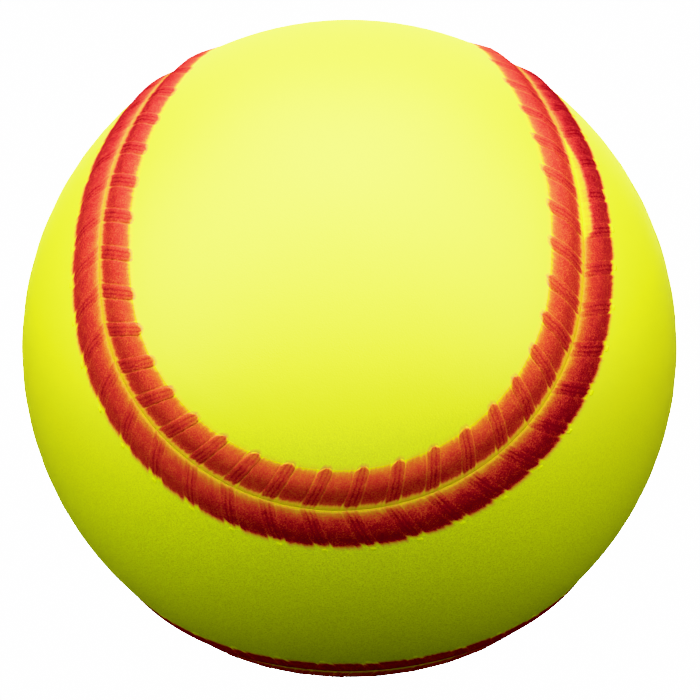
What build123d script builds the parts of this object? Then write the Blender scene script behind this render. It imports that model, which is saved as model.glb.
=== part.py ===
"""Moulded twelve-inch softball: a foam core, two matching cover panels and their raised, stitched seam."""

import os
from collections import namedtuple
from math import asin, atan, atan2, cos, degrees, pi, radians, sin, sqrt, tan

from build123d import *

# Ball and its layers, in millimetres
BALL_CIRCUMFERENCE = 304.8
COVER_THICKNESS = 3.5
CEMENT_THICKNESS = 0.3

# Seam line: sizes are measured over the ball, angles in degrees
PANEL_WAIST_WIDTH = 43.0
SEAM_STRAIGHT = 31.5
SEAM_TILT = 36.0

# Joint between the panels
JOINT_GAP = 0.1
GROOVE_WIDTH = 0.8
GROOVE_DEPTH = 0.4

# Raised bead on each side of the joint
BEAD_SPACING = 1.1
BEAD_WIDTH = 5.8
BEAD_HEIGHT = 0.9

# Stitches, each a pair of strands laid over a bead; the first is counted from the middle of a straight run
STITCHES_PER_PANEL = 88
FIRST_STITCH_OFFSET = 2.4
STITCH_LEAN = 22.0
STITCH_WIDTH = 2.0
STITCH_RISE = 0.2
STITCH_END_WIDTH = 1.1
STITCH_END_RISE = 0.06
STITCH_INSET = 0.1
STITCH_CLEARANCE = 0.02

# Derived sizes
BALL_RADIUS = BALL_CIRCUMFERENCE / (2 * pi)
PANEL_BACK_RADIUS = BALL_RADIUS - COVER_THICKNESS
CORE_RADIUS = PANEL_BACK_RADIUS - CEMENT_THICKNESS
BEAD_CREST_RADIUS = BALL_RADIUS + BEAD_HEIGHT
CENTRE = Vector(0, 0, 0)

# The seam's own frame: its Z axis leaves the ball through the middle of the upper panel's waist
SEAM_FRAME = Plane.XY.rotated((-SEAM_TILT, 0, 0))

SeamArc = namedtuple("SeamArc", "axis start sweep")


def on_ball(latitude, longitude):
    """Unit direction at a latitude and longitude of the seam's frame, in radians."""
    local = Vector(cos(latitude) * cos(longitude), cos(latitude) * sin(longitude), sin(latitude))
    return SEAM_FRAME.from_local_coords(local)


def turned(direction, axis, angle):
    """A direction turned about an axis through the ball's centre, in degrees."""
    return direction.rotate(Axis(CENTRE, axis), angle)


def seam_line():
    """The closed seam as circular arcs on the ball, in order, each with the upper panel on its left.

    Four round lobes alternate with four straight runs. A run is part of a great circle, and touches
    the lobes at its two ends, so the seam has no kinks.
    """
    tip_latitude = pi / 2 - PANEL_WAIST_WIDTH / 2 / BALL_RADIUS
    half_run = SEAM_STRAIGHT / 2 / BALL_RADIUS
    lobe_radius = atan((sqrt(2) * cos(half_run) - cos(tip_latitude)) / sin(tip_latitude))
    lobe_latitude = tip_latitude - lobe_radius

    arcs = []
    for quarter in range(4):
        side = -1 if quarter % 2 == 0 else 1
        longitude = (quarter - 1) * pi / 2
        axis = on_ball(side * lobe_latitude, longitude)
        tip = on_ball(side * tip_latitude, longitude)
        run_middle = on_ball(0, longitude + pi / 4)
        lobe = Plane(CENTRE, x_dir=tip - axis * tip.dot(axis), z_dir=axis * -side)
        middle_on_lobe = lobe.to_local_coords(run_middle)
        bearing = atan2(middle_on_lobe.Y, middle_on_lobe.X) - atan(tan(half_run) / sin(lobe_radius))
        half_sweep = degrees(bearing)
        lobe_end = turned(tip, lobe.z_dir, half_sweep)
        arcs.append(SeamArc(lobe.z_dir, turned(tip, lobe.z_dir, -half_sweep), 2 * half_sweep))
        arcs.append(SeamArc(lobe_end.cross(run_middle).normalized(), lobe_end, 2 * degrees(half_run)))
    return arcs


def section_plane(arc):
    """The plane across the seam at an arc's start: its Y axis is the arc's axis."""
    outward = (arc.start - arc.axis * arc.start.dot(arc.axis)).normalized()
    return Plane(CENTRE, x_dir=outward, z_dir=outward.cross(arc.axis))


def section_point(arc, radius, offset):
    """A point of that plane, at a radius from the ball's centre and an offset over the ball from the seam."""
    angle = radians(arc.axis.get_angle(arc.start)) - offset / BALL_RADIUS
    return radius * sin(angle), radius * cos(angle)


def joint_point(arc, radius, offset):
    """A point of that plane, at a radius along the seam's own direction and an offset square to it."""
    angle = radians(arc.axis.get_angle(arc.start))
    return radius * sin(angle) - offset * cos(angle), radius * cos(angle) + offset * sin(angle)


SEAM = seam_line()
SEAM_AXIS = Axis(CENTRE, SEAM_FRAME.z_dir)
# A half turn about the middle of a straight run swaps the two panels
PANEL_SWAP = Location(CENTRE, on_ball(0, -pi / 4), 180)

# Core: one foam ball
with BuildPart() as core:
    Sphere(CORE_RADIUS)
core.part.label = "core"

# Cement: the film that bonds the cover to the core
with BuildPart() as cement_layer:
    Sphere(PANEL_BACK_RADIUS)
    Sphere(CORE_RADIUS, mode=Mode.SUBTRACT)
cement_layer.part.label = "cement_layer"

# Joint: a narrow cut right through the cover, opening into a groove at the surface
with BuildPart() as joint_cut:
    for arc in SEAM:
        with BuildSketch(section_plane(arc)):
            with BuildLine():
                Polyline(
                    joint_point(arc, CORE_RADIUS, JOINT_GAP / 2),
                    joint_point(arc, BALL_RADIUS - GROOVE_DEPTH, JOINT_GAP / 2),
                    joint_point(arc, BALL_RADIUS, GROOVE_WIDTH / 2),
                    joint_point(arc, BEAD_CREST_RADIUS, GROOVE_WIDTH / 2),
                    joint_point(arc, BEAD_CREST_RADIUS, -GROOVE_WIDTH / 2),
                    joint_point(arc, BALL_RADIUS, -GROOVE_WIDTH / 2),
                    joint_point(arc, BALL_RADIUS - GROOVE_DEPTH, -JOINT_GAP / 2),
                    joint_point(arc, CORE_RADIUS, -JOINT_GAP / 2),
                    close=True,
                )
            make_face()
        revolve(axis=Axis(CENTRE, arc.axis), revolution_arc=arc.sweep)

# Cover: two figure-of-eight panels
with BuildPart() as cover:
    Sphere(BALL_RADIUS)
    Sphere(PANEL_BACK_RADIUS, mode=Mode.SUBTRACT)
    add(joint_cut.part, mode=Mode.SUBTRACT)
with BuildPart() as lower_cover_panel:
    add(cover.solids().sort_by(SEAM_AXIS)[0])
lower_cover_panel.part.label = "lower_cover_panel"
with BuildPart() as upper_cover_panel:
    add(cover.solids().sort_by(SEAM_AXIS)[-1])
upper_cover_panel.part.label = "upper_cover_panel"

# Beads: a low rounded ridge along each panel's edge
bead_inner_edge = BEAD_SPACING / 2
bead_outer_edge = bead_inner_edge + BEAD_WIDTH
bead_middle = (bead_inner_edge + bead_outer_edge) / 2
with BuildPart() as upper_seam_bead:
    for arc in SEAM:
        inner_foot = section_point(arc, BALL_RADIUS, bead_inner_edge)
        outer_foot = section_point(arc, BALL_RADIUS, bead_outer_edge)
        with BuildSketch(section_plane(arc)):
            with BuildLine():
                ThreePointArc(inner_foot, section_point(arc, BEAD_CREST_RADIUS, bead_middle), outer_foot)
                ThreePointArc(outer_foot, section_point(arc, BALL_RADIUS, bead_middle), inner_foot)
            make_face()
        revolve(axis=Axis(CENTRE, arc.axis), revolution_arc=arc.sweep)
upper_seam_bead.part.label = "upper_seam_bead"
with BuildPart() as lower_seam_bead:
    with Locations(PANEL_SWAP):
        add(upper_seam_bead.part)
lower_seam_bead.part.label = "lower_seam_bead"

# Stitches: each is a pair of strands that rises at the joint, crosses the bead and dips at its far edge
half_bead = BEAD_WIDTH / 2 / BALL_RADIUS
bead_rise = BEAD_CREST_RADIUS - BALL_RADIUS * cos(half_bead)
bead_reach = BALL_RADIUS * sin(half_bead)
bead_round = (bead_reach**2 + bead_rise**2) / (2 * bead_rise)
stitch_inset = STITCH_INSET + STITCH_END_WIDTH / 2 * sin(radians(STITCH_LEAN))
stitch_reach = asin(bead_reach / bead_round) - stitch_inset / bead_round
seam_lengths = [BALL_RADIUS * sin(radians(arc.axis.get_angle(arc.start))) * radians(arc.sweep) for arc in SEAM]
stitch_pitch = sum(seam_lengths) / STITCHES_PER_PANEL


def seam_at(distance):
    """The seam's direction from the ball's centre, and the way it runs, at a distance along it."""
    distance %= sum(seam_lengths)
    for arc, length in zip(SEAM, seam_lengths):
        if distance < length:
            break
        distance -= length
    foot = turned(arc.start, arc.axis, arc.sweep * distance / length)
    return foot, arc.axis.cross(foot).normalized()


def stitch_section(side, distance, angle):
    """The plane across a stitch where it stands on the bead at an angle from the bead's crest."""
    foot, along = seam_at(distance)
    crest = turned(foot, along, -side * degrees(bead_middle / BALL_RADIUS))
    away = crest.cross(along) * side
    outward = crest * cos(angle) + away * sin(angle)
    across_bead = away * cos(angle) - crest * sin(angle)
    lie = across_bead * cos(radians(STITCH_LEAN)) + along * sin(radians(STITCH_LEAN))
    seat = crest * (BEAD_CREST_RADIUS - bead_round) + outward * (bead_round + STITCH_CLEARANCE)
    return Plane(seat, x_dir=outward.cross(lie), z_dir=lie)


def stitch(side, distance):
    """One stitch, lofted over the bead through sections that shrink towards its two ends."""
    with BuildPart() as pair:
        for step in (-1, -0.85, -0.5, 0, 0.5, 0.85, 1):
            angle = step * stitch_reach
            shift = bead_round * angle * tan(radians(STITCH_LEAN))
            rise = STITCH_RISE + (STITCH_END_RISE - STITCH_RISE) * step**2
            half = (STITCH_WIDTH + (STITCH_END_WIDTH - STITCH_WIDTH) * step**2) / 2
            hang = half**2 / 2 * (sin(radians(STITCH_LEAN)) ** 2 / bead_round + 1 / BALL_RADIUS)
            with BuildSketch(stitch_section(side, distance + shift, angle)):
                with BuildLine():
                    ThreePointArc((-half, -hang), (0, 0), (half, -hang))
                    ThreePointArc((half, -hang), (half / 2, rise), (0, 0.6 * rise))
                    ThreePointArc((0, 0.6 * rise), (-half / 2, rise), (-half, -hang))
                make_face()
        loft()
    return pair.part


def stitches(side):
    """All the stitches of one panel, evenly spaced: side 1 is the upper panel, -1 the lower."""
    start = FIRST_STITCH_OFFSET - SEAM_STRAIGHT / 2
    return [stitch(side, start + number * stitch_pitch) for number in range(STITCHES_PER_PANEL)]


with BuildPart() as upper_stitches:
    add(stitches(1))
upper_stitches.part.label = "upper_stitches"
with BuildPart() as lower_stitches:
    add(stitches(-1))
lower_stitches.part.label = "lower_stitches"

os.makedirs("parts", exist_ok=True)
pieces = [core, cement_layer, upper_cover_panel, lower_cover_panel]
pieces += [upper_seam_bead, lower_seam_bead, upper_stitches, lower_stitches]
for piece in pieces:
    export_step(piece.part, f"parts/{piece.part.label}.step")
    print(piece.part.label, len(piece.solids()), round(piece.part.volume, 1), piece.part.is_valid)
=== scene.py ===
"""Softball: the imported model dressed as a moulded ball, with a fluorescent skin and a red painted seam."""

from collections import namedtuple
from math import atan, atan2, cos, pi, radians, sin, sqrt, tan

import bpy
from mathutils import Matrix, Vector


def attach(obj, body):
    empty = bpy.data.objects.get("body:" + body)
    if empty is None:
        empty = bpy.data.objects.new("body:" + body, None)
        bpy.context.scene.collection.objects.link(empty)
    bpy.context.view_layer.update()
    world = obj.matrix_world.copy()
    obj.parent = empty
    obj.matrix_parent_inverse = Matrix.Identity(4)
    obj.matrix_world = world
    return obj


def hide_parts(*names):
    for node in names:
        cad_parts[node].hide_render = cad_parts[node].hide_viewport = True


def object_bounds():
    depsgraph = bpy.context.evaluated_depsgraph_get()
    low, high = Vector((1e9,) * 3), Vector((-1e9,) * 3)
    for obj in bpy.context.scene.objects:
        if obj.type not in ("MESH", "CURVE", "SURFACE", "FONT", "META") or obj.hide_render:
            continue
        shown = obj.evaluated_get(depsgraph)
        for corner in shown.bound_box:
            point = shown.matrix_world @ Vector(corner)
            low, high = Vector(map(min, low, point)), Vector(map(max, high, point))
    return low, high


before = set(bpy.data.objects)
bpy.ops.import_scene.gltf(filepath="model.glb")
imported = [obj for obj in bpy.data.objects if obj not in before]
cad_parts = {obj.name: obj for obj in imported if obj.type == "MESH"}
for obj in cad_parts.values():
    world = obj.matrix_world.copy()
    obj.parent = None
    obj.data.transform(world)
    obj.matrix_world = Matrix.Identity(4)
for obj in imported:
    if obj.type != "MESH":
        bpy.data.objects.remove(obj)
cad_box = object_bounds()

# Sizes and angles of the ball as in the part's source, in millimetres and radians
BALL_RADIUS = 304.8 / (2 * pi)
COVER_THICKNESS = 3.5
PANEL_WAIST_WIDTH = 43.0
SEAM_STRAIGHT = 31.5
SEAM_TILT = radians(36)
BEAD_START = 0.55
BEAD_END = 6.35
STITCHES = 88
FIRST_STITCH = 2.4
STITCH_LEAN = radians(22)
STITCH_HALF_WIDTH = 1.0

# Shapes that only the looks need, in millimetres
PANEL_BORDER = 9.5
HALF_JOINT = 0.01
WELD_REACH = 0.02
UPPER_CREST = 0.45
LOWER_CREST = 0.4
CREASE_PLACE = 1.06
CREASE_WIDTH = 0.24
CREASE_DEPTH = 0.2
CHANNEL_PLACE = 0.33
STITCH_EDGE_DEPTH = 0.05
STITCH_ROOT_DEPTH = 0.35

MM = 0.001
SEAM_FRAME = Matrix.Rotation(-SEAM_TILT, 3, "X")


def on_ball(latitude, longitude):
    """Unit direction at a latitude and longitude of the seam's own frame."""
    level = cos(latitude)
    return SEAM_FRAME @ Vector((level * cos(longitude), level * sin(longitude), sin(latitude)))


def seam_line():
    """The closed seam as arcs on the ball: axis, start direction, sweep and length of each."""
    tip = pi / 2 - PANEL_WAIST_WIDTH / 2 / BALL_RADIUS
    half_run = SEAM_STRAIGHT / 2 / BALL_RADIUS
    lobe = atan((sqrt(2) * cos(half_run) - cos(tip)) / sin(tip))
    arcs = []
    for quarter in range(4):
        side = -1 if quarter % 2 == 0 else 1
        longitude = (quarter - 1) * pi / 2
        lobe_tip = on_ball(side * tip, longitude)
        run_middle = on_ball(0, longitude + pi / 4)
        axis = on_ball(side * (tip - lobe), longitude) * -side
        outward = (lobe_tip - axis * lobe_tip.dot(axis)).normalized()
        bearing = atan2(run_middle.dot(axis.cross(outward)), run_middle.dot(outward))
        half_sweep = bearing - atan(tan(half_run) / sin(lobe))
        lobe_start = Matrix.Rotation(-half_sweep, 3, axis) @ lobe_tip
        lobe_end = Matrix.Rotation(half_sweep, 3, axis) @ lobe_tip
        arcs.append((axis, lobe_start, 2 * half_sweep, 2 * half_sweep * sin(lobe) * BALL_RADIUS))
        arcs.append((lobe_end.cross(run_middle).normalized(), lobe_end, 2 * half_run, SEAM_STRAIGHT))
    return arcs


SEAM = seam_line()
SEAM_LENGTH = sum(arc[3] for arc in SEAM)
STITCH_PITCH = SEAM_LENGTH / STITCHES
BEAD_MIDDLE = (BEAD_START + BEAD_END) / 2
STITCH_SHIFT = FIRST_STITCH - STITCH_PITCH / 2


def seam_at(along):
    """Foot on the ball and direction into the upper panel, at a length along the seam.

    The length starts in the middle of the straight run before the front lobe.
    """
    along = (along - SEAM_STRAIGHT / 2) % SEAM_LENGTH
    for axis, start, sweep, length in SEAM:
        if along < length:
            break
        along -= length
    foot = Matrix.Rotation(sweep * along / length, 3, axis) @ start
    return foot, foot.cross(axis.cross(foot)).normalized()


def stitch_shift(across):
    """How far a stitch's middle line has moved along the seam, at a distance from the seam."""
    return STITCH_SHIFT + tan(STITCH_LEAN) * (across - BEAD_MIDDLE)


def bead_height(across, crest):
    """Height over the ball of a bead with a crest of that height, at a distance from the seam."""
    share = min(abs(across - BEAD_MIDDLE) / (BEAD_END - BEAD_MIDDLE), 1.0)
    return crest * (1 + cos(pi * share)) / 2


def leaning_row(across, radius):
    """A row of a band at one distance from the seam, where the columns lean with the stitches."""
    return lambda middle, side: (middle + stitch_shift(across), across, radius)


def inner_row(share, radius):
    """A row part of the way from the seam's border to the panel's centre line, where both halves meet."""

    def row(middle, side):
        along = middle + stitch_shift(PANEL_BORDER) * (1 - share)
        foot, left = seam_at(along)
        level = SEAM_FRAME.col[0] if side > 0 else SEAM_FRAME.col[1]
        reach = atan2(-foot.dot(level), side * left.dot(level)) % pi
        return along, PANEL_BORDER + (reach * BALL_RADIUS - PANEL_BORDER) * share, radius

    return row


def placed_mesh(name, corners, faces, face_places):
    """A smooth mesh whose face corners carry their place on the seam."""
    mesh = bpy.data.meshes.new(name)
    mesh.from_pydata(corners, [], faces)
    places = mesh.attributes.new("seam_place", "FLOAT_VECTOR", "CORNER")
    places.data.foreach_set("vector", face_places)
    mesh.shade_smooth()
    return mesh


def seam_band(name, side, rows, steps, closed):
    """A skin that runs all along the seam on one panel, with its last row joined to the first where closed.

    A row is a function that gives a length along the seam, a distance from it and a radius. The columns
    lie along the stitches, at steps across each one. Every corner keeps its place: length along the seam,
    distance from it, and distance from the nearest stitch's middle line.
    """
    corners = []
    places = []
    for stitch in range(STITCHES):
        for step in steps:
            middle = (stitch + 0.5) * STITCH_PITCH + step / cos(STITCH_LEAN)
            for row in rows:
                along, across, radius = row(middle, side)
                foot, left = seam_at(along)
                angle = across / BALL_RADIUS
                corners.append((foot * cos(angle) + left * (side * sin(angle))) * (radius * MM))
                places.append((along, across, abs(step)))
    columns = STITCHES * len(steps)
    depth = len(rows)
    faces = []
    face_places = []
    for column in range(columns):
        following = (column + 1) % columns
        lap = SEAM_LENGTH if following == 0 else 0.0
        for row in range(depth if closed else depth - 1):
            below = (row + 1) % depth
            ring = [(column, row, 0.0), (following, row, lap), (following, below, lap), (column, below, 0.0)]
            if side < 0:
                ring.reverse()
            faces.append([c * depth + r for c, r, turn in ring])
            for c, r, turn in ring:
                along, across, gap = places[c * depth + r]
                face_places.extend((along + turn, across, gap))
    return placed_mesh(name, corners, faces, face_places)


def add_object(name, data):
    """An object at the origin that holds a mesh, a light or a camera."""
    piece = bpy.data.objects.new(name, data)
    bpy.context.scene.collection.objects.link(piece)
    return piece


def settled(piece, modifier):
    """The piece with what its modifier makes kept as its plain mesh."""
    made = bpy.data.meshes.new_from_object(piece.evaluated_get(bpy.context.evaluated_depsgraph_get()))
    piece.modifiers.remove(modifier)
    piece.data = made
    made.name = piece.name
    made.shade_smooth()
    return piece


def add_node(tree, kind, inputs=None, stops=(), **settings):
    """A node with its settings and colour stops, and its inputs set to values or linked to sockets."""
    node = tree.nodes.new(kind)
    for name, value in settings.items():
        setattr(node, name, value)
    ends = {0.0: 0, 1.0: -1}
    for at, colour in stops:
        elements = node.color_ramp.elements
        element = elements[ends[at]] if at in ends else elements.new(at)
        element.color = colour
    for key, value in (inputs or {}).items():
        if isinstance(value, bpy.types.NodeSocket):
            tree.links.new(value, node.inputs[key])
        else:
            node.inputs[key].default_value = value
    return node


def hex_colour(code):
    """Linear colour from an sRGB hex value."""
    channels = [int(code[i:i + 2], 16) / 255 for i in (1, 3, 5)]
    linear = [c / 12.92 if c <= 0.04045 else ((c + 0.055) / 1.055) ** 2.4 for c in channels]
    return (*linear, 1.0)


def bare_material(name):
    """A material with an empty node tree, and that tree."""
    material = bpy.data.materials.new(name)
    material.use_nodes = True
    material.node_tree.nodes.clear()
    return material, material.node_tree


# Moulded skin, bare or under more or less seam paint

# Colour of the skin under paint of growing thickness, from none
PAINT_COLOURS = (
    (0.0, "#E4EB06"), (0.05, "#E1C030"), (0.1, "#E1A344"), (0.2, "#D4763A"), (0.35, "#C5523D"),
    (0.5, "#B93F38"), (0.7, "#A33437"), (1.0, "#7C181F"),
)

# Paint along one panel's edge. Patch and bar give its thickness at distances from the seam in millimetres,
# between the stitches and on them. Crease is the share of it that gets into the creases. Late is how far
# from the seam it starts, in millimetres, on the one stretch where it starts late. Right is a factor on it
# high on the right. Low is how much thick paint gains low on the ball, partly as painted shade.
SeamPaint = namedtuple("SeamPaint", "patch bar crease late right low")
UPPER_PAINT = SeamPaint(
    patch=(
        (0.3, 0.06), (0.6, 0.1), (0.8, 0.23), (1.05, 0.42), (1.6, 0.51), (2.4, 0.53), (3.2, 0.48),
        (4.2, 0.42), (5.2, 0.3), (5.7, 0.19), (5.95, 0.13), (6.15, 0.04), (6.6, 0.01), (7.2, 0.0),
    ),
    bar=(
        (0.3, 0.06), (0.55, 0.1), (0.75, 0.24), (1.0, 0.44), (1.6, 0.52), (2.4, 0.53), (3.2, 0.48),
        (4.2, 0.42), (5.2, 0.36), (6.0, 0.28), (6.4, 0.24), (6.6, 0.1), (6.8, 0.04), (7.3, 0.0),
    ),
    crease=0.66, late=0.6, right=0.8, low=0.3,
)
LOWER_PAINT = SeamPaint(
    patch=(
        (0.2, 0.06), (0.45, 0.13), (0.8, 0.19), (1.2, 0.29), (1.7, 0.4), (2.3, 0.48), (3.2, 0.54),
        (5.5, 0.55), (5.9, 0.46), (6.1, 0.22), (6.3, 0.08), (6.6, 0.02), (7.0, 0.0),
    ),
    bar=(
        (0.2, 0.06), (0.45, 0.14), (0.8, 0.22), (1.2, 0.33), (1.7, 0.42), (2.3, 0.5), (3.2, 0.54),
        (5.4, 0.54), (5.8, 0.44), (6.0, 0.16), (6.2, 0.04), (6.6, 0.0),
    ),
    crease=0.86, late=1.8, right=1.2, low=2.2,
)

# Places and sizes of the paint's marks, in millimetres
PAINT_REACH = 9.0
TOOTH_SPACING = 0.5
TOOTH_REACH = 0.2
PINCH_WIDTH = 0.35
PINCH_NEAR_PLACE = 1.5
PINCH_NEAR_PULL = 1.2
PINCH_FAR_PLACE = 5.0
PINCH_FAR_PULL = 0.5
STITCH_SIDE_START = 0.9
STITCH_SIDE_END = 1.2
LATE_MIDDLE = 133.7
LATE_HALF_LENGTH = 8.3
LATE_FADE_INSIDE = 2.0
LATE_FADE_OUTSIDE = 1.5
LATE_TAPER_START = 5.2
USUAL_START = -0.6
START_SOFTNESS = 0.5
MISSED_HALF_WIDTH = 0.03
MISSED_FADE = 0.2
CHANNEL_HALF_WIDTH = 0.04
CHANNEL_FADE = 0.22
SPECKLE_SIZE = 0.2
CLOUD_SIZE = 1.5
GRAIN_SIZE = 0.2
GRAIN_DEPTH = 0.03

# Changes by place on the ball: a direction from its middle, and how far along it, in millimetres, the change
# starts and is full. High and painted shade are measured straight up.
UP_RIGHT = (0.6, 0.0, 0.8)
UP_RIGHT_START = 18.0
UP_RIGHT_FULL = 42.0
# Partly painted shade: direction and distances where the paint is drawn heavier low on the right
LOW_RIGHT = (0.4, 0.0, -0.92)
LOW_RIGHT_START = 8.0
LOW_RIGHT_FULL = 26.0
# Painted shade: heights where the paint starts to be drawn heavier high on the ball, and is fully so
HIGH_START = 12.0
HIGH_FULL = 40.0
# Painted shade: heights where the skin's greener tint starts and is full
PAINTED_SHADE_START = -2.0
PAINTED_SHADE_FULL = -34.0

# Shares and factors of the paint and the skin
TOOTH_SLOWNESS = 0.2
BAR_ROUNDING = 0.4
LATE_TAPER = 0.35
THIN_MIST = 0.1
# Painted shade: how much more paint darkens the channels between a stitch's strands
CHANNEL_SHADE_GAIN = 1.35
CLOUD_SHARE = 0.4
MOTTLE_LEAST = 0.6
MOTTLE_MOST = 1.4
# Painted shade: how much heavier the paint is drawn high on the ball
HIGH_SHADE_GAIN = 1.4
# Painted shade: the tint that turns the skin greener low on the ball
PAINTED_SHADE_TINT = (-0.04, 0.1, 0.0)
VINYL_GLOSS = 1.0
PAINT_GLOSS = 0.0


def seam_coat(tree, paint, along, across, gap):
    """Paint thickness by place on the seam: ragged edges, bare creases, and painted shade in the channels."""
    # Ragged edges: teeth that lie along the stitches
    lean = add_node(tree, "ShaderNodeMath", {
        0: across, 1: -tan(STITCH_LEAN), 2: along}, operation="MULTIPLY_ADD")
    slow = add_node(tree, "ShaderNodeMath", {0: across, 1: TOOTH_SLOWNESS}, operation="MULTIPLY")
    streak = add_node(tree, "ShaderNodeCombineXYZ", {"X": lean.outputs[0], "Y": slow.outputs[0]})
    teeth = add_node(tree, "ShaderNodeTexNoise", {
        "Vector": streak.outputs[0], "Scale": 1 / TOOTH_SPACING, "Detail": 2.0})
    ragged = add_node(tree, "ShaderNodeMapRange", {
        "Value": teeth.outputs["Fac"], "From Min": 0.25, "From Max": 0.75,
        "To Min": -TOOTH_REACH, "To Max": TOOTH_REACH})
    edge = add_node(tree, "ShaderNodeMath", {0: across, 1: ragged.outputs[0]}, operation="ADD")

    # Creases beside the stitches: the paint's edges draw back there, on both sides of the bead
    off = add_node(tree, "ShaderNodeMath", {0: gap, 1: CREASE_PLACE}, operation="SUBTRACT")
    away = add_node(tree, "ShaderNodeMath", {0: off.outputs[0]}, operation="ABSOLUTE")
    pinch = add_node(tree, "ShaderNodeMapRange", {
        "Value": away.outputs[0], "From Min": 0.0, "From Max": PINCH_WIDTH, "To Min": 1.0, "To Max": 0.0},
        interpolation_type="SMOOTHSTEP")
    pull = add_node(tree, "ShaderNodeMapRange", {
        "Value": across, "From Min": PINCH_NEAR_PLACE, "From Max": PINCH_FAR_PLACE,
        "To Min": PINCH_NEAR_PULL * (paint.crease - 1), "To Max": PINCH_FAR_PULL * (1 - paint.crease)})
    pinched = add_node(tree, "ShaderNodeMath", {
        0: pinch.outputs[0], 1: pull.outputs[0], 2: edge.outputs[0]}, operation="MULTIPLY_ADD")

    # Thickness on the stitches and between them, with the paint's ends on the stitches rounded
    gap_square = add_node(tree, "ShaderNodeMath", {0: gap, 1: gap}, operation="MULTIPLY")
    rounded = add_node(tree, "ShaderNodeMath", {
        0: gap_square.outputs[0], 1: BAR_ROUNDING, 2: pinched.outputs[0]}, operation="MULTIPLY_ADD")
    coats = []
    for profile, reached in ((paint.bar, rounded), (paint.patch, pinched)):
        share = add_node(tree, "ShaderNodeMath", {
            0: reached.outputs[0], 1: PAINT_REACH}, operation="DIVIDE")
        levels = [(0.0, profile[0][1]), *profile, (PAINT_REACH, 0.0)]
        stops = [(distance / PAINT_REACH, (level, level, level, 1.0)) for distance, level in levels]
        ramp = add_node(tree, "ShaderNodeValToRGB", {"Fac": share.outputs[0]}, stops)
        coats.append(ramp.outputs["Color"])
    on_patch = add_node(tree, "ShaderNodeMapRange", {
        "Value": gap, "From Min": STITCH_SIDE_START, "From Max": STITCH_SIDE_END},
        interpolation_type="SMOOTHSTEP")
    coat = add_node(tree, "ShaderNodeMix", {
        0: on_patch.outputs[0], 2: coats[0], 3: coats[1]}, data_type="FLOAT")

    # One stretch of the seam where the paint starts late, with a short taper below and a long one above
    before = add_node(tree, "ShaderNodeMath", {0: LATE_MIDDLE, 1: along}, operation="SUBTRACT")
    beyond = add_node(tree, "ShaderNodeMath", {
        0: before.outputs[0], 1: -LATE_TAPER, 2: LATE_TAPER_START}, operation="MULTIPLY_ADD")
    distance = add_node(tree, "ShaderNodeMath", {
        0: before.outputs[0], 1: beyond.outputs[0]}, operation="MAXIMUM")
    late = add_node(tree, "ShaderNodeMapRange", {
        "Value": distance.outputs[0], "From Min": LATE_HALF_LENGTH - LATE_FADE_INSIDE,
        "From Max": LATE_HALF_LENGTH + LATE_FADE_OUTSIDE, "To Min": paint.late, "To Max": USUAL_START},
        interpolation_type="SMOOTHSTEP")
    past = add_node(tree, "ShaderNodeMath", {0: edge.outputs[0], 1: late.outputs[0]}, operation="SUBTRACT")
    covered = add_node(tree, "ShaderNodeMapRange", {
        "Value": past.outputs[0], "From Min": -START_SOFTNESS, "From Max": START_SOFTNESS,
        "To Min": THIN_MIST, "To Max": 1.0}, interpolation_type="SMOOTHSTEP")
    painted = add_node(tree, "ShaderNodeMath", {
        0: coat.outputs[0], 1: covered.outputs[0]}, operation="MULTIPLY")

    # Lines that the paint missed, in the creases
    missed = add_node(tree, "ShaderNodeMapRange", {
        "Value": away.outputs[0], "From Min": MISSED_HALF_WIDTH, "From Max": MISSED_FADE,
        "To Min": paint.crease, "To Max": 1.0}, interpolation_type="SMOOTHSTEP")
    creased = add_node(tree, "ShaderNodeMath", {
        0: painted.outputs[0], 1: missed.outputs[0]}, operation="MULTIPLY")

    # Painted shade: more paint, so a darker colour, in the two channels between the three strands of a stitch
    beside = add_node(tree, "ShaderNodeMath", {0: gap, 1: CHANNEL_PLACE}, operation="SUBTRACT")
    near = add_node(tree, "ShaderNodeMath", {0: beside.outputs[0]}, operation="ABSOLUTE")
    channel_shade = add_node(tree, "ShaderNodeMapRange", {
        "Value": near.outputs[0], "From Min": CHANNEL_HALF_WIDTH, "From Max": CHANNEL_FADE,
        "To Min": CHANNEL_SHADE_GAIN, "To Max": 1.0}, interpolation_type="SMOOTHSTEP")
    channelled = add_node(tree, "ShaderNodeMath", {
        0: creased.outputs[0], 1: channel_shade.outputs[0]}, operation="MULTIPLY")
    return channelled.outputs[0]


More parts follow.
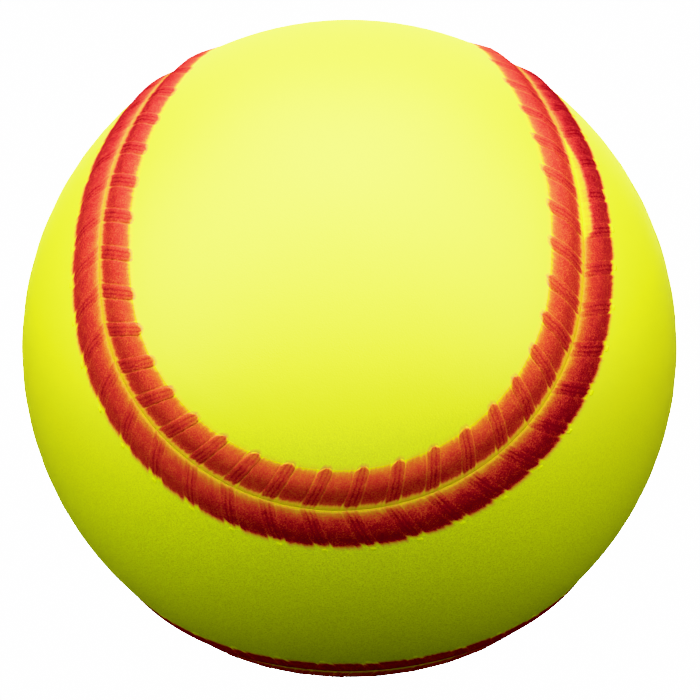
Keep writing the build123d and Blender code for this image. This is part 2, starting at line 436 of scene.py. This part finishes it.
def sprayed_and_shaded_coat(tree, paint, coat, spot, height):
    """Speckled thickness of the spray, heavier or lighter by place on the ball, partly as painted shade."""
    speckle = add_node(tree, "ShaderNodeTexNoise", {
        "Vector": spot, "Scale": 1 / (SPECKLE_SIZE * MM), "Detail": 1.0, "Roughness": 0.6})
    cloud = add_node(tree, "ShaderNodeTexNoise", {
        "Vector": spot, "Scale": 1 / (CLOUD_SIZE * MM), "Detail": 2.0})
    mottle = add_node(tree, "ShaderNodeMath", {
        0: cloud.outputs["Fac"], 1: CLOUD_SHARE, 2: speckle.outputs["Fac"]}, operation="MULTIPLY_ADD")
    uneven = add_node(tree, "ShaderNodeMapRange", {
        "Value": mottle.outputs[0], "From Min": 0.45, "From Max": 0.95,
        "To Min": MOTTLE_LEAST, "To Max": MOTTLE_MOST})
    mottled = add_node(tree, "ShaderNodeMath", {0: coat, 1: uneven.outputs[0]}, operation="MULTIPLY")

    # Painted shade: the paint is drawn heavier, so darker, high on the ball, where the light is strongest.
    # There it is also heavier or lighter on the right by the panel's own factor
    rise = add_node(tree, "ShaderNodeMapRange", {
        "Value": height, "From Min": HIGH_START * MM, "From Max": HIGH_FULL * MM,
        "To Min": 1.0, "To Max": HIGH_SHADE_GAIN}, interpolation_type="SMOOTHSTEP")
    high_shaded = add_node(tree, "ShaderNodeMath", {
        0: mottled.outputs[0], 1: rise.outputs[0]}, operation="MULTIPLY")
    up_right = add_node(tree, "ShaderNodeVectorMath", {0: spot, 1: UP_RIGHT}, operation="DOT_PRODUCT")
    share = add_node(tree, "ShaderNodeMapRange", {
        "Value": up_right.outputs["Value"], "From Min": UP_RIGHT_START * MM, "From Max": UP_RIGHT_FULL * MM,
        "To Min": 1.0, "To Max": paint.right}, interpolation_type="SMOOTHSTEP")
    shared = add_node(tree, "ShaderNodeMath", {
        0: high_shaded.outputs[0], 1: share.outputs[0]}, operation="MULTIPLY")

    # Heavier low on the ball and on its right, most where the paint is thick already: partly a heavier spray,
    # partly painted shade
    low_right = add_node(tree, "ShaderNodeVectorMath", {0: spot, 1: LOW_RIGHT}, operation="DOT_PRODUCT")
    low_load_and_shade = add_node(tree, "ShaderNodeMapRange", {
        "Value": low_right.outputs["Value"], "From Min": LOW_RIGHT_START * MM,
        "From Max": LOW_RIGHT_FULL * MM, "To Min": 0.0, "To Max": paint.low},
        interpolation_type="SMOOTHSTEP")
    square = add_node(tree, "ShaderNodeMath", {
        0: shared.outputs[0], 1: shared.outputs[0]}, operation="MULTIPLY")
    weight = add_node(tree, "ShaderNodeMath", {
        0: square.outputs[0], 1: low_load_and_shade.outputs[0], 2: 1.0}, operation="MULTIPLY_ADD")
    loaded = add_node(tree, "ShaderNodeMath", {
        0: shared.outputs[0], 1: weight.outputs[0]}, operation="MULTIPLY")
    return loaded.outputs[0]


def painted_skin(name, paint, gloss):
    """Soft vinyl moulded in a fluorescent yellow, with thin red paint along the seam.

    The eye gets a very strong yellow with a broad pale shine where light comes from above. Low on the
    ball its colour is painted greener and flecked with its mould grain, as painted shade. The paint is matt.
    It goes from gold mist through orange to deep red as it thickens.
    """
    material, tree = bare_material(name)
    place = add_node(tree, "ShaderNodeAttribute", attribute_name="seam_place", attribute_type="GEOMETRY")
    along, across, gap = add_node(tree, "ShaderNodeSeparateXYZ", {0: place.outputs["Vector"]}).outputs
    spot = add_node(tree, "ShaderNodeTexCoord").outputs["Object"]
    height = add_node(tree, "ShaderNodeSeparateXYZ", {0: spot}).outputs["Z"]
    coat = seam_coat(tree, paint, along, across, gap)
    thickness = sprayed_and_shaded_coat(tree, paint, coat, spot, height)
    colour = add_node(tree, "ShaderNodeValToRGB", {"Fac": thickness},
                      [(at, hex_colour(code)) for at, code in PAINT_COLOURS])

    # Painted shade: low on the ball the skin is tinted greener, and its grain flecks the colour more there
    grain = add_node(tree, "ShaderNodeTexNoise", {
        "Vector": spot, "Scale": 1 / (GRAIN_SIZE * MM), "Detail": 2.0})
    painted_shade = add_node(tree, "ShaderNodeMapRange", {
        "Value": height, "From Min": PAINTED_SHADE_START * MM, "From Max": PAINTED_SHADE_FULL * MM},
        interpolation_type="SMOOTHSTEP")
    glow = add_node(tree, "ShaderNodeVectorMath", {
        0: painted_shade.outputs[0], 1: PAINTED_SHADE_TINT, 2: (1.0, 1.0, 1.0)}, operation="MULTIPLY_ADD")
    shade_tinted = add_node(tree, "ShaderNodeVectorMath", {
        0: colour.outputs["Color"], 1: glow.outputs[0]}, operation="MULTIPLY")
    fleck = add_node(tree, "ShaderNodeMath", {0: grain.outputs["Fac"], 1: 0.5}, operation="SUBTRACT")
    flecked = add_node(tree, "ShaderNodeMath", {
        0: fleck.outputs[0], 1: painted_shade.outputs[0], 2: 1.0}, operation="MULTIPLY_ADD")
    shaded_colour = add_node(tree, "ShaderNodeVectorMath", {
        0: shade_tinted.outputs[0], "Scale": flecked.outputs[0]}, operation="SCALE")
    bump = add_node(tree, "ShaderNodeBump", {
        "Strength": 1.0, "Distance": GRAIN_DEPTH * MM, "Height": grain.outputs["Fac"]})
    shader = add_node(tree, "ShaderNodeBsdfPrincipled", {
        "Base Color": shaded_colour.outputs[0], "Roughness": 0.5, "IOR": 1.6, "Specular IOR Level": gloss,
        "Normal": bump.outputs[0]})
    add_node(tree, "ShaderNodeOutputMaterial", {"Surface": shader.outputs[0]})
    return material


# Foam and cement, inside the cover. Sizes of their marks are in millimetres

CELL_SIZE = 0.6
CELL_DEPTH = 0.1
TINT_SIZE = 9.0
BRUSH_SPACING = 1.2
BRUSH_LENGTH = 8.0
BRUSH_DEPTH = 0.05


def foam(name):
    """Polyurethane foam, cast in a ball: cream and dull, with small closed cells that show as pits."""
    material, tree = bare_material(name)
    spot = add_node(tree, "ShaderNodeTexCoord").outputs["Object"]
    cells = add_node(tree, "ShaderNodeTexVoronoi", {"Vector": spot, "Scale": 1 / (CELL_SIZE * MM)})
    tint = add_node(tree, "ShaderNodeTexNoise", {
        "Vector": spot, "Scale": 1 / (TINT_SIZE * MM), "Detail": 3.0})
    # Painted shade: the colour is darker in the cells' pits, with a random tint over it
    pit_shade_and_tint = add_node(tree, "ShaderNodeMath", {
        0: cells.outputs["Distance"], 1: 0.4, 2: tint.outputs["Fac"]}, operation="MULTIPLY_ADD")
    colour = add_node(tree, "ShaderNodeValToRGB", {"Fac": pit_shade_and_tint.outputs[0]}, [
        (0.0, hex_colour("#BFAE86")), (0.45, hex_colour("#DCCFAE")), (1.0, hex_colour("#F0E6CC"))])
    bump = add_node(tree, "ShaderNodeBump", {
        "Strength": 0.6, "Distance": CELL_DEPTH * MM, "Height": cells.outputs["Distance"]})
    shader = add_node(tree, "ShaderNodeBsdfPrincipled", {
        "Base Color": colour.outputs["Color"], "Roughness": 0.85, "IOR": 1.45, "Normal": bump.outputs[0]})
    add_node(tree, "ShaderNodeOutputMaterial", {"Surface": shader.outputs[0]})
    return material


def dried_cement(name):
    """Contact cement brushed on and dried: an amber film, satin, streaked where the brush went."""
    material, tree = bare_material(name)
    spot = add_node(tree, "ShaderNodeTexCoord").outputs["Object"]
    across_brush = 1 / (BRUSH_SPACING * MM)
    along_brush = 1 / (BRUSH_LENGTH * MM)
    drawn = add_node(tree, "ShaderNodeMapping", {
        "Vector": spot, "Scale": (across_brush, across_brush, along_brush)})
    marks = add_node(tree, "ShaderNodeTexNoise", {"Vector": drawn.outputs[0], "Scale": 1.0, "Detail": 3.0})
    colour = add_node(tree, "ShaderNodeValToRGB", {"Fac": marks.outputs["Fac"]}, [
        (0.0, hex_colour("#A87A36")), (0.5, hex_colour("#C79A52")), (1.0, hex_colour("#DDB976"))])
    rough = add_node(tree, "ShaderNodeMapRange", {
        "Value": marks.outputs["Fac"], "To Min": 0.3, "To Max": 0.55})
    bump = add_node(tree, "ShaderNodeBump", {
        "Strength": 0.5, "Distance": BRUSH_DEPTH * MM, "Height": marks.outputs["Fac"]})
    shader = add_node(tree, "ShaderNodeBsdfPrincipled", {
        "Base Color": colour.outputs["Color"], "Roughness": rough.outputs[0], "IOR": 1.5,
        "Normal": bump.outputs[0]})
    add_node(tree, "ShaderNodeOutputMaterial", {"Surface": shader.outputs[0]})
    return material


for node, material in (("core", foam("polyurethane_foam")), ("cement_layer", dried_cement("dried_cement"))):
    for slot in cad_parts[node].material_slots:
        slot.material = material


# Cover panels

# Columns of a panel for each stitch, as distances from the stitch's middle line in millimetres
PANEL_STEPS = (-STITCH_PITCH / 2 * cos(STITCH_LEAN), -1.9, -1.4, -1.0, -0.5, 0.0, 0.5, 1.0, 1.4, 1.9)


def panel_rows():
    """Rows of a panel's section: out along its back, up the joint, over the lip, in along its face."""
    back = BALL_RADIUS - COVER_THICKNESS
    lip = ((HALF_JOINT, -0.3), (0.2, -0.25), (0.5, -0.12))
    border = (1.5, 3.5, 5.2, 5.7, 6.1, 6.5, 6.9, 7.3, 7.8, 8.5)
    rows = [inner_row(share, back) for share in (1.0, 0.66, 0.33, 0.0)]
    rows += [leaning_row(across, back) for across in (4.0, HALF_JOINT)]
    rows += [leaning_row(across, BALL_RADIUS + drop) for across, drop in lip]
    rows += [leaning_row(across, BALL_RADIUS) for across in border]
    rows += [inner_row(share, BALL_RADIUS) for share in (0.0, 0.1, 0.22, 0.36, 0.52, 0.68, 0.84, 1.0)]
    return rows


def cover_panel(name, side, material):
    """One figure-of-eight panel: a closed shell whose two halves are welded on its centre line."""
    panel = add_object(name, seam_band(name, side, panel_rows(), PANEL_STEPS, False))
    panel.data.materials.append(material)
    weld = panel.modifiers.new("weld", "WELD")
    weld.merge_threshold = WELD_REACH * MM
    return settled(panel, weld)


# Seam beads

# Columns of a bead for each stitch, closest at the creases beside it
BEAD_STEPS = (
    -STITCH_PITCH / 2 * cos(STITCH_LEAN),
    -2.4, -2.1, -1.8, -1.5, -1.3, -1.16, -1.06, -0.96, -0.8, -0.5, -0.25,
    0.0, 0.25, 0.5, 0.8, 0.96, 1.06, 1.16, 1.3, 1.5, 1.8, 2.1, 2.4,
)
# How far under the ball's surface the back of a bead lies, and the depth that tells its face from its back
BEAD_BACK_DEPTH = 0.3
BEAD_FACE_DEPTH = 0.1


def bead_rows():
    """Rows of a bead's section: a thin foot in the groove, over the top, then back under the skin."""
    foot = ((HALF_JOINT, -0.09), (0.02, -0.08), (0.15, -0.06), (0.35, -0.02))
    tops = 26
    shares = [(1 - cos(pi * step / tops)) / 2 for step in range(tops + 1)]
    rows = [leaning_row(across, BALL_RADIUS + drop) for across, drop in foot]
    rows += [leaning_row(BEAD_START + (BEAD_END - BEAD_START) * share, BALL_RADIUS) for share in shares]
    rows += [leaning_row(across, BALL_RADIUS - BEAD_BACK_DEPTH) for across in (5.4, 3.4, 1.4)]
    return rows


def bead_tree():
    """Geometry Nodes that raise a flat band into a bead and sink a crease along both sides of each stitch."""
    tree = bpy.data.node_groups.new("Seam bead", "GeometryNodeTree")
    tree.interface.new_socket("Geometry", in_out="INPUT", socket_type="NodeSocketGeometry")
    for name, value in (
        ("Bead start", BEAD_START), ("Bead end", BEAD_END), ("Bead height", UPPER_CREST),
        ("Face radius", BALL_RADIUS - BEAD_FACE_DEPTH), ("Crease place", CREASE_PLACE),
        ("Crease width", CREASE_WIDTH), ("Crease depth", CREASE_DEPTH),
    ):
        tree.interface.new_socket(name, in_out="INPUT", socket_type="NodeSocketFloat").default_value = value
    tree.interface.new_socket("Material", in_out="INPUT", socket_type="NodeSocketMaterial")
    tree.interface.new_socket("Geometry", in_out="OUTPUT", socket_type="NodeSocketGeometry")
    given = add_node(tree, "NodeGroupInput").outputs
    position = add_node(tree, "GeometryNodeInputPosition").outputs[0]
    place = add_node(tree, "GeometryNodeInputNamedAttribute", {
        "Name": "seam_place"}, data_type="FLOAT_VECTOR")
    along, across, gap = add_node(tree, "ShaderNodeSeparateXYZ", {0: place.outputs[0]}).outputs
    # Rounded section: one swing of a cosine from edge to edge
    swing = add_node(tree, "ShaderNodeMapRange", {
        "Value": across, "From Min": given["Bead start"], "From Max": given["Bead end"],
        "To Min": -pi, "To Max": pi})
    wave = add_node(tree, "ShaderNodeMath", {0: swing.outputs[0]}, operation="COSINE")
    section = add_node(tree, "ShaderNodeMath", {
        0: wave.outputs[0], 1: 0.5, 2: 0.5}, operation="MULTIPLY_ADD")
    # Crease beside a stitch, deepest on the crest
    off = add_node(tree, "ShaderNodeMath", {0: gap, 1: given["Crease place"]}, operation="SUBTRACT")
    away = add_node(tree, "ShaderNodeMath", {0: off.outputs[0]}, operation="ABSOLUTE")
    crease = add_node(tree, "ShaderNodeMapRange", {
        "Value": away.outputs[0], "From Min": 0.0, "From Max": given["Crease width"],
        "To Min": 1.0, "To Max": 0.0}, interpolation_type="SMOOTHSTEP")
    cut = add_node(tree, "ShaderNodeMath", {
        0: crease.outputs[0], 1: given["Crease depth"]}, operation="MULTIPLY")
    height = add_node(tree, "ShaderNodeMath", {
        0: given["Bead height"], 1: cut.outputs[0]}, operation="SUBTRACT")
    rise = add_node(tree, "ShaderNodeMath", {
        0: section.outputs[0], 1: height.outputs[0]}, operation="MULTIPLY")
    # Only the face of the band rises: its back stays under the skin
    radius = add_node(tree, "ShaderNodeVectorMath", {0: position}, operation="LENGTH")
    limit = add_node(tree, "ShaderNodeMath", {0: given["Face radius"], 1: MM}, operation="MULTIPLY")
    face = add_node(tree, "ShaderNodeMath", {
        0: radius.outputs["Value"], 1: limit.outputs[0]}, operation="GREATER_THAN")
    metres = add_node(tree, "ShaderNodeMath", {0: rise.outputs[0], 1: MM}, operation="MULTIPLY")
    outward = add_node(tree, "ShaderNodeVectorMath", {0: position}, operation="NORMALIZE")
    lift = add_node(tree, "ShaderNodeVectorMath", {
        0: outward.outputs[0], "Scale": metres.outputs[0]}, operation="SCALE")
    moved = add_node(tree, "GeometryNodeSetPosition", {
        "Geometry": given["Geometry"], "Selection": face.outputs[0], "Offset": lift.outputs[0]})
    solid = add_node(tree, "GeometryNodeRealizeInstances", {"Geometry": moved.outputs[0]})
    painted = add_node(tree, "GeometryNodeSetMaterial", {
        "Geometry": solid.outputs[0], "Material": given["Material"]})
    add_node(tree, "NodeGroupOutput", {0: painted.outputs[0]})
    return tree


def grown(name, mesh, tree, settings):
    """A plain mesh object from what a Geometry Nodes tree makes of a mesh."""
    piece = add_object(name, mesh)
    modifier = piece.modifiers.new(tree.name, "NODES")
    modifier.node_group = tree
    names = {item.name: item.identifier for item in tree.interface.items_tree if item.in_out == "INPUT"}
    for key, value in settings.items():
        modifier[names[key]] = value
    return settled(piece, modifier)


# Stitches

# Section across a stitch: offset as a share of its half width, and height as a share of its rise
STRANDS = ((-0.92, 0.3), (-0.66, 0.9), (-0.33, 0.35), (0.0, 1.0), (0.33, 0.35), (0.66, 0.9), (0.92, 0.3))
# Width of a stitch's root, as a share of the stitch's own
STITCH_ROOT_SHARE = 0.6
# Sections along a stitch: distance from the seam, share of the full width, and rise over the bead
UPPER_STITCH = (
    (0.6, 0.7, -0.04), (0.9, 0.9, 0.04), (1.7, 1.0, 0.06), (3.4, 1.0, 0.07), (5.0, 1.0, 0.08),
    (5.8, 1.0, 0.1), (6.15, 0.88, 0.11), (6.42, 0.68, 0.08), (6.6, 0.45, 0.03), (6.7, 0.22, -0.04),
)
LOWER_STITCH = (
    (0.6, 0.7, -0.05), (1.0, 0.9, 0.01), (2.0, 1.0, 0.02), (4.0, 1.0, 0.02), (5.6, 0.9, 0.01),
    (6.1, 0.5, -0.06), (6.45, 0.35, -0.06), (6.65, 0.4, 0.06), (6.85, 0.42, 0.09), (7.05, 0.36, 0.06),
    (7.2, 0.2, -0.05),
)
# How much the stitches differ: turn to either side, share of the width, and seed of the draw
STITCH_TURN = radians(1.5)
STITCH_SPREAD = 0.04
STITCH_SEED = 7


def stitch_blank(name, side, crest, sections):
    """One stitch on top of a ball: a bar of three strands that crosses the bead and ends on the skin.

    Its origin is on the seam, X runs along the seam and Y into the upper panel.
    """
    corners = []
    places = []
    for across, width, rise in sections:
        outline = [(-1.0, -STITCH_EDGE_DEPTH)]
        outline += [(offset, rise * height) for offset, height in STRANDS]
        outline += [(1.0, -STITCH_EDGE_DEPTH)]
        outline += [(offset, -STITCH_ROOT_DEPTH) for offset in (STITCH_ROOT_SHARE, -STITCH_ROOT_SHARE)]
        for offset, lift in outline:
            along = stitch_shift(across) + offset * width * STITCH_HALF_WIDTH / cos(STITCH_LEAN)
            radius = BALL_RADIUS + bead_height(across, crest) + lift
            turn = along / BALL_RADIUS
            away = across / BALL_RADIUS
            direction = Vector((sin(turn) * cos(away), side * sin(away), cos(turn) * cos(away)))
            corners.append((direction * radius - Vector((0.0, 0.0, BALL_RADIUS))) * MM)
            places.append((along, across, abs(offset) * STITCH_HALF_WIDTH))
    count = len(outline)
    faces = [list(range(count))[::-1], [len(corners) - count + spot for spot in range(count)]]
    for first in range(0, len(corners) - count, count):
        for spot in range(count):
            following = (spot + 1) % count
            faces.append([first + spot, first + following, first + count + following, first + count + spot])
    if side < 0:
        faces = [face[::-1] for face in faces]
    held = [value for face in faces for corner in face for value in places[corner]]
    return add_object(name, placed_mesh(name, corners, faces, held))


def seam_guide(name):
    """The seam as a closed line on the ball, starting half a pitch from the middle of a straight run."""
    parts = 8
    count = STITCHES * parts
    points = [seam_at((0.5 + step / parts) * STITCH_PITCH)[0] * (BALL_RADIUS * MM) for step in range(count)]
    mesh = bpy.data.meshes.new(name)
    mesh.from_pydata(points, [(step, (step + 1) % count) for step in range(count)], [])
    return mesh


def stitch_tree():
    """Geometry Nodes that set stitches evenly along the seam, each a little different."""
    tree = bpy.data.node_groups.new("Stitch row", "GeometryNodeTree")
    tree.interface.new_socket("Geometry", in_out="INPUT", socket_type="NodeSocketGeometry")
    tree.interface.new_socket("Stitch", in_out="INPUT", socket_type="NodeSocketObject")
    for name, kind, value in (
        ("Count", "Int", STITCHES), ("Pitch", "Float", STITCH_PITCH), ("Turn", "Float", STITCH_TURN),
        ("Spread", "Float", STITCH_SPREAD), ("Seed", "Int", STITCH_SEED),
    ):
        socket = tree.interface.new_socket(name, in_out="INPUT", socket_type=f"NodeSocket{kind}")
        socket.default_value = value
    tree.interface.new_socket("Material", in_out="INPUT", socket_type="NodeSocketMaterial")
    tree.interface.new_socket("Geometry", in_out="OUTPUT", socket_type="NodeSocketGeometry")
    given = add_node(tree, "NodeGroupInput").outputs
    line = add_node(tree, "GeometryNodeMeshToCurve", {"Mesh": given["Geometry"]})
    spots = add_node(tree, "GeometryNodeResampleCurve", {"Curve": line.outputs[0], "Count": given["Count"]})
    blank = add_node(tree, "GeometryNodeObjectInfo", {"Object": given["Stitch"]}, transform_space="ORIGINAL")
    position = add_node(tree, "GeometryNodeInputPosition").outputs[0]
    tangent = add_node(tree, "GeometryNodeInputTangent").outputs[0]
    stand = add_node(tree, "FunctionNodeAlignRotationToVector", {"Vector": position}, axis="Z")
    face = add_node(tree, "FunctionNodeAlignRotationToVector", {
        "Rotation": stand.outputs[0], "Vector": tangent}, axis="X", pivot_axis="Z")
    # A small turn and a width of its own for each stitch
    back = add_node(tree, "ShaderNodeMath", {0: given["Turn"], 1: -1.0}, operation="MULTIPLY")
    turn = add_node(tree, "FunctionNodeRandomValue", {
        2: back.outputs[0], 3: given["Turn"], "Seed": given["Seed"]}, data_type="FLOAT")
    turn_by = add_node(tree, "ShaderNodeCombineXYZ", {"Z": turn.outputs[1]})
    turned = add_node(tree, "FunctionNodeRotateRotation", {
        "Rotation": face.outputs[0], "Rotate By": turn_by.outputs[0]}, rotation_space="LOCAL")
    least = add_node(tree, "ShaderNodeMath", {0: 1.0, 1: given["Spread"]}, operation="SUBTRACT")
    most = add_node(tree, "ShaderNodeMath", {0: 1.0, 1: given["Spread"]}, operation="ADD")
    width = add_node(tree, "FunctionNodeRandomValue", {
        2: least.outputs[0], 3: most.outputs[0], "Seed": given["Seed"]}, data_type="FLOAT")
    scale = add_node(tree, "ShaderNodeCombineXYZ", {"X": width.outputs[1], "Y": 1.0, "Z": 1.0})
    row = add_node(tree, "GeometryNodeInstanceOnPoints", {
        "Points": spots.outputs[0], "Instance": blank.outputs["Geometry"], "Rotation": turned.outputs[0],
        "Scale": scale.outputs[0]})
    # The places on a stitch count from its own middle, so its length along the seam is added to them
    number = add_node(tree, "GeometryNodeInputIndex").outputs[0]
    middle = add_node(tree, "ShaderNodeMath", {0: number, 1: 0.5}, operation="ADD")
    start = add_node(tree, "ShaderNodeMath", {0: middle.outputs[0], 1: given["Pitch"]}, operation="MULTIPLY")
    started = add_node(tree, "GeometryNodeStoreNamedAttribute", {
        "Geometry": row.outputs[0], "Name": "stitch_start", "Value": start.outputs[0]},
        data_type="FLOAT", domain="INSTANCE")
    solid = add_node(tree, "GeometryNodeRealizeInstances", {"Geometry": started.outputs[0]})
    own = add_node(tree, "GeometryNodeInputNamedAttribute", {"Name": "seam_place"}, data_type="FLOAT_VECTOR")
    begun = add_node(tree, "GeometryNodeInputNamedAttribute", {"Name": "stitch_start"}, data_type="FLOAT")
    shift = add_node(tree, "ShaderNodeCombineXYZ", {"X": begun.outputs[0]})
    place = add_node(tree, "ShaderNodeVectorMath", {0: own.outputs[0], 1: shift.outputs[0]}, operation="ADD")
    placed = add_node(tree, "GeometryNodeStoreNamedAttribute", {
        "Geometry": solid.outputs[0], "Name": "seam_place", "Value": place.outputs[0]},
        data_type="FLOAT_VECTOR", domain="CORNER")
    painted = add_node(tree, "GeometryNodeSetMaterial", {
        "Geometry": placed.outputs[0], "Material": given["Material"]})
    add_node(tree, "NodeGroupOutput", {0: painted.outputs[0]})
    return tree


# Both sides of the seam

bead_nodes = bead_tree()
stitch_nodes = stitch_tree()
for label, side, crest, paint, sections in (
    ("upper", 1, UPPER_CREST, UPPER_PAINT, UPPER_STITCH),
    ("lower", -1, LOWER_CREST, LOWER_PAINT, LOWER_STITCH),
):
    skin = painted_skin(f"{label}_vinyl_skin", paint, VINYL_GLOSS)
    panel = cover_panel(f"{label}_panel_skin", side, skin)
    bead_skin = painted_skin(f"{label}_painted_bead", paint, PAINT_GLOSS)
    band = seam_band(f"{label}_bead", side, bead_rows(), BEAD_STEPS, True)
    bead = grown(f"{label}_bead", band, bead_nodes, {
        "Bead height": crest, "Crease depth": CREASE_DEPTH * (1 - paint.crease), "Material": bead_skin})
    blank = stitch_blank(f"{label}_stitch_blank", side, crest, sections)
    stitch_skin = painted_skin(f"{label}_painted_stitch", paint, PAINT_GLOSS)
    stitches = grown(f"{label}_stitch_row", seam_guide(f"{label}_stitch_row"), stitch_nodes, {
        "Stitch": blank, "Material": stitch_skin})
    bpy.data.objects.remove(blank)
    for piece, node, slot in (
        (panel, f"{label}_cover_panel", "cover_yellow"),
        (bead, f"{label}_seam_bead", "seam_red"),
        (stitches, f"{label}_stitches", "stitch_red"),
    ):
        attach(piece, "root")
        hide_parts(node)


# Floor, light and camera

# Lengths are in metres here, apart from the lens and its sensor, which are in millimetres
SWEEP_RADIUS = 3.0
SWEEP_BEND = 1.0
SWEEP_HEIGHT = 6.0
SWEEP_GLOW = 12.0
SOFTBOX_SIZE = 1.2
SOFTBOX_DISTANCE = 1.25
WORLD_GLOW = 0.03
CAMERA_LENS = 286.0
CAMERA_SENSOR = 36.0
CAMERA_DISTANCE = 0.8246
CAMERA_REACH = 50.0
FROM_BALL_TO_CAMERA = Vector((0.0315, -0.9995, -0.0043))
CAMERA_UP = Vector((0.0135, -0.0039, 0.9999))
CAMERA_TO_RIGHT = 0.00009
CAMERA_DOWN = 0.00043


def white_sweep():
    """A round white floor with a wall around it. It fills the background and throws no light on the ball."""
    floor = cad_box[0][2]
    profile = [(SWEEP_RADIUS, floor)]
    for bend in (pi / 8, pi / 4, 3 * pi / 8, pi / 2):
        profile.append((SWEEP_RADIUS + SWEEP_BEND * sin(bend), floor + SWEEP_BEND * (1 - cos(bend))))
    profile.append((SWEEP_RADIUS + SWEEP_BEND, SWEEP_HEIGHT))
    turns = 64
    angles = [2 * pi * turn / turns for turn in range(turns)]
    corners = [(radius * cos(angle), radius * sin(angle), z) for radius, z in profile for angle in angles]
    faces = [list(range(turns))]
    for ring in range(0, len(corners) - turns, turns):
        for turn in range(turns):
            following = (turn + 1) % turns
            faces.append([ring + turn, ring + following, ring + turns + following, ring + turns + turn])
    mesh = bpy.data.meshes.new("white_sweep")
    mesh.from_pydata(corners, [], faces)
    sweep = add_object("white_sweep", mesh)
    material, tree = bare_material("white_paper")
    glow = add_node(tree, "ShaderNodeEmission", {"Color": hex_colour("#FFFFFF"), "Strength": SWEEP_GLOW})
    add_node(tree, "ShaderNodeOutputMaterial", {"Surface": glow.outputs[0]})
    mesh.materials.append(material)
    sweep.visible_diffuse = False
    sweep.visible_glossy = False
    sweep.visible_transmission = False
    sweep.visible_shadow = False


def softbox(name, azimuth, elevation, power):
    """A square white light aimed at the ball, with angles in degrees and its power in watts.

    Azimuth 0 is the viewer's side.
    """
    light = bpy.data.lights.new(name, "AREA")
    light.size = SOFTBOX_SIZE
    light.energy = power
    lamp = add_object(name, light)
    flat = Vector((sin(radians(azimuth)), -cos(radians(azimuth)), 0.0)) * cos(radians(elevation))
    lamp.location = (flat + Vector((0.0, 0.0, sin(radians(elevation))))) * SOFTBOX_DISTANCE
    lamp.rotation_euler = lamp.location.to_track_quat("Z", "Y").to_euler()


def photo_camera():
    """A camera at the photograph's viewing angle, with a long lens."""
    camera = add_object("camera", bpy.data.cameras.new("camera"))
    camera.data.sensor_width = CAMERA_SENSOR
    camera.data.lens = CAMERA_LENS
    camera.data.clip_end = CAMERA_REACH
    towards = FROM_BALL_TO_CAMERA.normalized()
    right = CAMERA_UP.cross(towards).normalized()
    up = towards.cross(right)
    camera.matrix_world = Matrix((right, up, towards)).transposed().to_4x4()
    camera.location = towards * CAMERA_DISTANCE + right * CAMERA_TO_RIGHT - up * CAMERA_DOWN
    bpy.context.scene.camera = camera


white_sweep()
softbox("overhead_softbox", 0, 80, 8.1)
softbox("left_top_softbox", -45, 60, 10.8)
softbox("right_top_softbox", 45, 60, 11.0)
softbox("front_softbox", 0, 25, 8.1)
softbox("left_softbox", -60, 20, 13.0)
softbox("right_softbox", 60, 20, 10.2)
softbox("back_softbox", 180, 30, 7.0)
softbox("low_fill", 0, -40, 1.4)

world = bpy.data.worlds.new("studio")
bpy.context.scene.world = world
world.use_nodes = True
world.node_tree.nodes["Background"].inputs["Color"].default_value = hex_colour("#FFFFFF")
world.node_tree.nodes["Background"].inputs["Strength"].default_value = WORLD_GLOW
bpy.context.scene.view_settings.view_transform = "Khronos PBR Neutral"
photo_camera()
